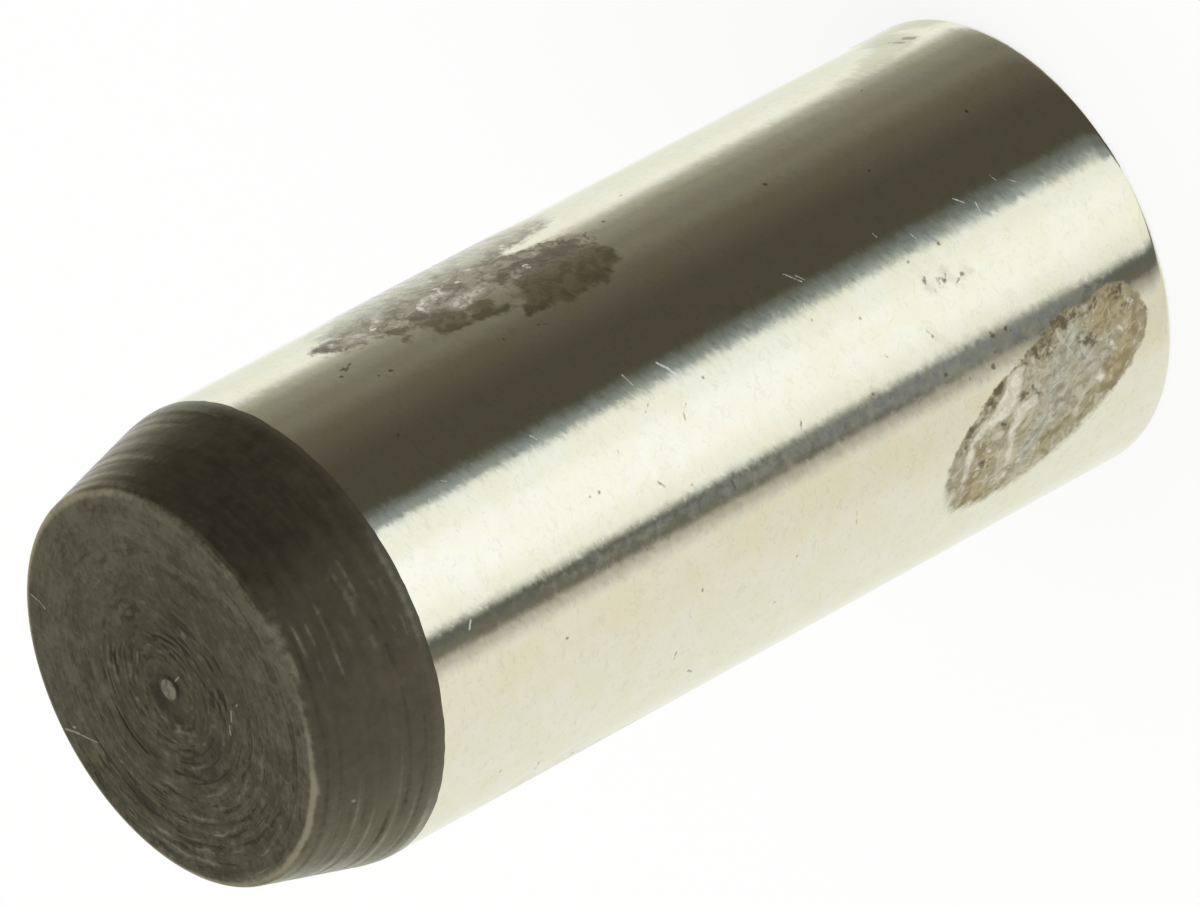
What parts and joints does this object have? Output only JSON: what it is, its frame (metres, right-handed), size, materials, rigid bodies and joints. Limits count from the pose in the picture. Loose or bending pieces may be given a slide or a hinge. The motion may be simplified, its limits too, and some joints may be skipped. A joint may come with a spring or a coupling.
{
  "type": "dowel pin",
  "caption": "Hardened and ground cylindrical dowel pin with a long tapered lead end in black skin and a plain flat end, stained and scratched on its ground shank.",
  "frame": {"origin": "centre of the plain flat end that the pin stands on", "axes": "+Z along the pin's axis, from the flat end to the tapered lead end; X and Y are any two square radial directions"},
  "size_m": [0.01, 0.01, 0.023],
  "materials": {
    "steel": "ground shank, black hardening skin on the lead end"
  },
  "bodies": {
    "root": {"pin": "steel"}
  },
  "joints": []
}
